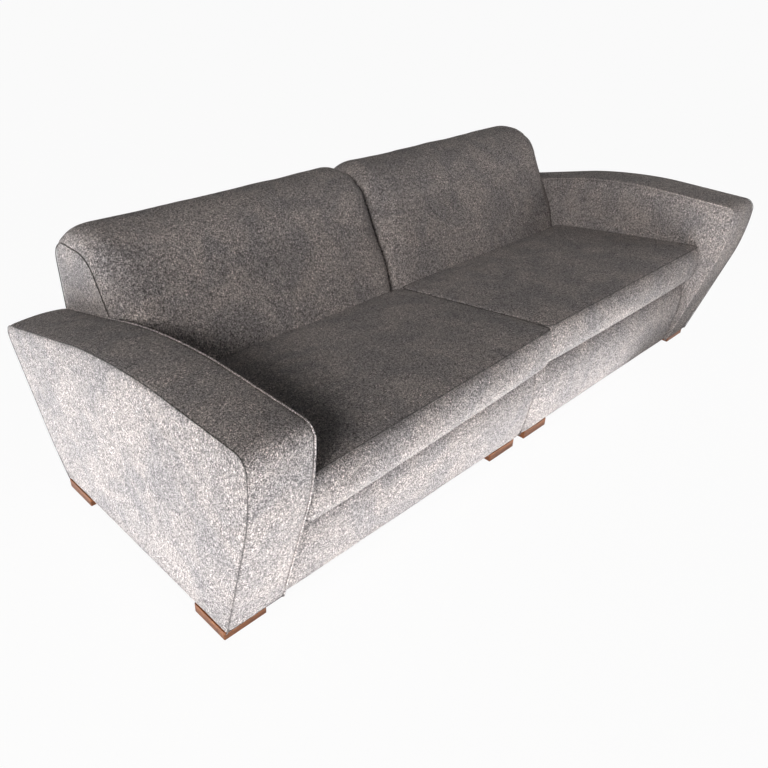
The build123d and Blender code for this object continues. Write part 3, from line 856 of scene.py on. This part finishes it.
# %% Upholstery pieces
nodes_of = {
    "arm": "arm_cover", "back": "back_cover", "cushion": "seat_cushion", "border": "front_border",
}
welt_radius = {"arm": 0.0013, "back": 0.0016, "cushion": 0.0021, "border": 0.0016}
piping_radius = 0.0024
hem_forward, hem_rise = 0.0145, 0.012
hem_line = [Vector((u, front_feet_y - hem_forward, rim_z + hem_rise)) for u in arm_seam_us]
for hand, side in hands.items():
    for seed, (name, form) in enumerate(forms.items()):
        body = f"{hand}_cushion" if name == "cushion" else f"{hand}_module"
        mesh, lines = waved(form, wave_heights[name], 5 * seed + side), form["seams"]
        if name == "cushion":
            pushes = cushion_pushes[hand]
            set_positions(mesh, pushed(positions(mesh), pushes))
            lines = [[Vector(point) for point in pushed(np.array(line), pushes)] for line in lines]
        mesh = mirrored(mesh, side)
        piece = finished(f"{hand}_{name}_upholstery", mesh, chenille, body)
        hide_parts(f"{hand}_{nodes_of[name]}")
        if name == "arm":
            inner_line, *lines = [*lines, hem_line]
            name_of_piping = f"{hand}_arm_piping"
            piping = welt_mesh(name_of_piping, [inner_line], piping_radius, side, closed=False)
            # the piping's paler cloth is a painted highlight
            finished(name_of_piping, piping, painted_highlight_chenille, body)
        closed = name != "arm"  # an arm's lines end at its rim
        welts = welt_mesh(f"{hand}_{name}_seams", lines, welt_radius[name], side, closed)
        # the welts' darker cloth is painted shade for the shadow in their groove
        finished(f"{hand}_{name}_seams", welts, seam_chenille_painted_shade, body)
print("upholstery made for both units")


# %% [markdown]
# ## Outside backs and closing panels
# The rear of each unit is closed by an upholstered panel that bends where the frame leans out,
# and the side where the units meet has a flat one. Both are thin boards with foam: an outline is
# extruded, its edges are beveled and the outer face gets a row of insets that rise a little, like
# cloth over a thin pad.

# %% Thin panels
outside_outer = [(0.813, rim_z), (0.883, 0.132), (1.036, 0.4266)]
outside_inner = [(1.0228, 0.4204), (0.8720, 0.1376), (0.7985, rim_z)]
closing_corners = [
    (0.010, rim_z), (0.010, 0.3123), (0.6464, 0.2229),
    (1.0080, 0.4138), (0.8725, 0.1385), (0.7990, rim_z),
]
pad_steps = ((0.006, 0.0010), (0.012, 0.0009), (0.026, 0.0009))  # width and rise of each inset
panel_edge, broad_area = 0.0025, 0.02
rear_way, gap_way = Vector((0, 0.88, -0.47)), Vector((-1, 0, 0))
closing_inset, closing_width = 0.0036, 0.0082


def rounded(mesh, width):
    """Bevels every edge of a board."""
    bmesh.ops.bevel(
        mesh, geom=mesh.edges[:], offset=width, offset_type="OFFSET", segments=3, profile=0.5,
        affect="EDGES", material=-1,
    )


def pad_face(mesh, face):
    """Raises a face in shrinking insets, so that it looks softly stuffed."""
    for width, rise in pad_steps:
        bmesh.ops.inset_region(
            mesh, faces=[face], thickness=width, depth=rise, use_even_offset=True
        )


def panel_mesh(corners, start_u, width, outward, name):
    """A board with rounded edges, padded on the sides that face along outward."""
    mesh = prism(corners, [0] * len(corners), side_place(start_u), Vector((width, 0, 0)))
    rounded(mesh, panel_edge)
    bmesh.ops.recalc_face_normals(mesh, faces=mesh.faces)
    facing_out = [face for face in mesh.faces if face.normal.dot(outward) > 0.5]
    for face in [face for face in facing_out if face.calc_area() > broad_area]:
        pad_face(mesh, face)
    return kept(mesh, name)


for hand, side in hands.items():
    body = f"{hand}_module"
    rear = panel_mesh(
        outside_outer + outside_inner, gap_u, arm_inner_u - gap_u, rear_way, f"{hand}_outside_back"
    )
    piece = finished(f"{hand}_outside_panel", mirrored(rear, side), chenille, body)
    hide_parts(f"{hand}_outside_back")
    inner_side = panel_mesh(
        closing_corners, gap_u + closing_inset, closing_width, gap_way, f"{hand}_closing"
    )
    inner_side = mirrored(inner_side, side)
    piece = finished(f"{hand}_closing_upholstery", inner_side, chenille, body)
    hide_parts(f"{hand}_closing_panel")
print("thin panels made")


# %% [markdown]
# ## Deck and dust cover
# Under the loose cushion the springs are covered by a plain dark deck cloth over a thin pad. It
# is a flat oblong on the sloping deck, with its edges beveled.

# %% Deck pad
frame_near = 0.0138  # where the frame starts, behind the closing panel
deck_far, deck_front, deck_rear = arm_inner_u - touch_gap, 0.0122, 0.6056
deck_thickness, deck_edge = 0.012, 0.004


def deck_mesh(name):
    plan = oblong(frame_near, deck_far, deck_front, deck_rear)
    mesh = prism(plan, (0, 0, 0, 0), deck_place(-deck_thickness), deck_rise * deck_thickness)
    rounded(mesh, deck_edge)
    return kept(mesh, name)


for hand, side in hands.items():
    name = f"{hand}_deck_cloth"
    pad_mesh = mirrored(deck_mesh(name), side)
    pad = finished(name, pad_mesh, deck_cloth, f"{hand}_module")
    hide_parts(f"{hand}_deck_pad")
print("deck pads made")


# %% [markdown]
# The underside is closed by a thin black cloth, cut a little smaller than the frame and stapled
# to it. It is stretched flat, so an oblong with the thickness of the cloth is enough.

# %% Dust cover
dust_low, dust_thickness = 0.0301, 0.0005
dust_far, dust_front, dust_rear = 1.2047, 0.0195, 0.7945


def floor_place(u, y):
    """Turns a point of the dust cover's plan into a place under the frame."""
    return Vector((u, y + front_feet_y, dust_low))


def dust_mesh(name):
    plan = oblong(frame_near, dust_far, dust_front, dust_rear)
    return kept(prism(plan, (0, 0, 0, 0), floor_place, Vector((0, 0, dust_thickness))), name)


for hand, side in hands.items():
    name = f"{hand}_dust_cloth"
    cover_mesh = mirrored(dust_mesh(name), side)
    cover = finished(name, cover_mesh, dust_cloth, f"{hand}_module")
    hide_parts(f"{hand}_dust_cover")
print("dust covers made")


# %% [markdown]
# ## Floor and backdrop
# The sofa stands on a plain pale floor that takes its shadow. To the camera, and in reflections,
# both the floor and the world look nearly white, while the world itself gives only a little even
# light. The Light Path node tells these rays apart.

# %% Floor
floor_tone, floor_glow = (0.80, 0.80, 0.80, 1), 0.95
white = (1, 1, 1, 1)


def seen_directly(tree):
    """1 where a camera, glossy or transmission ray sees the surface."""
    rays = tree.nodes.new("ShaderNodeLightPath")
    total = rays.outputs["Is Camera Ray"]
    for name in ("Is Glossy Ray", "Is Transmission Ray"):
        most = tree.nodes.new("ShaderNodeMath")
        most.operation = "MAXIMUM"
        tree.links.new(total, most.inputs[0])
        tree.links.new(rays.outputs[name], most.inputs[1])
        total = most.outputs[0]
    return total


def joined(tree, factor, first, second, output):
    """Mixes two shaders into the output."""
    mix = tree.nodes.new("ShaderNodeMixShader")
    tree.links.new(factor, mix.inputs["Fac"])
    tree.links.new(first.outputs[0], mix.inputs[1])
    tree.links.new(second.outputs[0], mix.inputs[2])
    tree.links.new(mix.outputs[0], tree.nodes[output].inputs["Surface"])


def make_floor():
    mesh = bmesh.new()
    bmesh.ops.create_grid(mesh, x_segments=1, y_segments=1, size=30)
    floor = linked("floor", kept(mesh, "floor"))
    material = bpy.data.materials.new("floor")
    material.use_nodes = True
    tree = material.node_tree
    surface = tree.nodes["Principled BSDF"]
    surface.inputs["Base Color"].default_value = floor_tone
    surface.inputs["Roughness"].default_value = 0.9
    glow = tree.nodes.new("ShaderNodeEmission")
    glow.inputs["Color"].default_value = white
    share = tree.nodes.new("ShaderNodeMath")
    share.operation = "MULTIPLY"
    share.inputs[1].default_value = floor_glow
    tree.links.new(seen_directly(tree), share.inputs[0])
    joined(tree, share.outputs[0], surface, glow, "Material Output")
    floor.data.materials.append(material)


make_floor()
print("floor made")

# %% World
even_tone, even_strength, white_strength = (0.95, 0.97, 1.0, 1), 0.045, 0.965


def make_world():
    world = bpy.data.worlds.new("studio")
    bpy.context.scene.world = world
    world.use_nodes = True
    tree = world.node_tree
    even, backdrop = tree.nodes["Background"], tree.nodes.new("ShaderNodeBackground")
    for node, tone, strength in (
        (even, even_tone, even_strength), (backdrop, white, white_strength)
    ):
        node.inputs["Color"].default_value = tone
        node.inputs["Strength"].default_value = strength
    joined(tree, seen_directly(tree), even, backdrop, "World Output")


make_world()
print("world made")


# %% [markdown]
# ## Light
# In the photograph the front and the left side are bright and the tops are dim, so most of the
# light comes from low down. Four wide soft boxes lie on the ground, one on each side of the sofa,
# and shine upwards; the front and the left ones are the strongest. A soft window light from the
# left models the tops, and a weak one from the right keeps that side from going black. The camera
# doesn't see any of them.

# %% Soft boxes
ground_z = 0.012


def soft_box(name, place, target, width, height, watts, color):
    """A rectangular area light that faces its target."""
    lamp = bpy.data.lights.new(name, "AREA")
    lamp.shape, lamp.size, lamp.size_y = "RECTANGLE", width, height
    lamp.energy, lamp.color = watts, color
    holder = linked(name, lamp)
    holder.location = place
    holder.rotation_mode = "QUATERNION"
    holder.rotation_quaternion = (Vector(target) - Vector(place)).to_track_quat("-Z", "Y")
    holder.visible_camera = False


ground_boxes = {
    "front_ground": (-1.70, -1.97, 4.8, 3.0, 147, (0.975, 0.985, 1.0)),
    "left_ground": (-2.68, 0.72, 2.85, 2.4, 98, (0.94, 0.97, 1.0)),
    "rear_ground": (0.0, 2.35, 5.0, 2.6, 56, (0.97, 0.985, 1.0)),
    "right_ground": (2.65, 0.85, 2.6, 2.4, 34, (0.97, 0.985, 1.0)),
}
for name, (x, y, width, height, watts, color) in ground_boxes.items():
    soft_box(name, (x, y, ground_z), (x, y, 1.0), width, height, watts, color)
soft_box("window_light", (-5.6, -3.0, 3.4), (0.0, 0.0, 0.45), 2.0, 1.6, 285, (1.0, 0.95, 0.915))
soft_box("right_light", (2.4, -1.8, 1.5), (0.5, 0.2, 0.6), 1.2, 1.0, 14, (1.0, 0.95, 0.92))
bpy.context.scene.view_settings.view_transform = "Standard"
print("lights set:", len(ground_boxes) + 2)
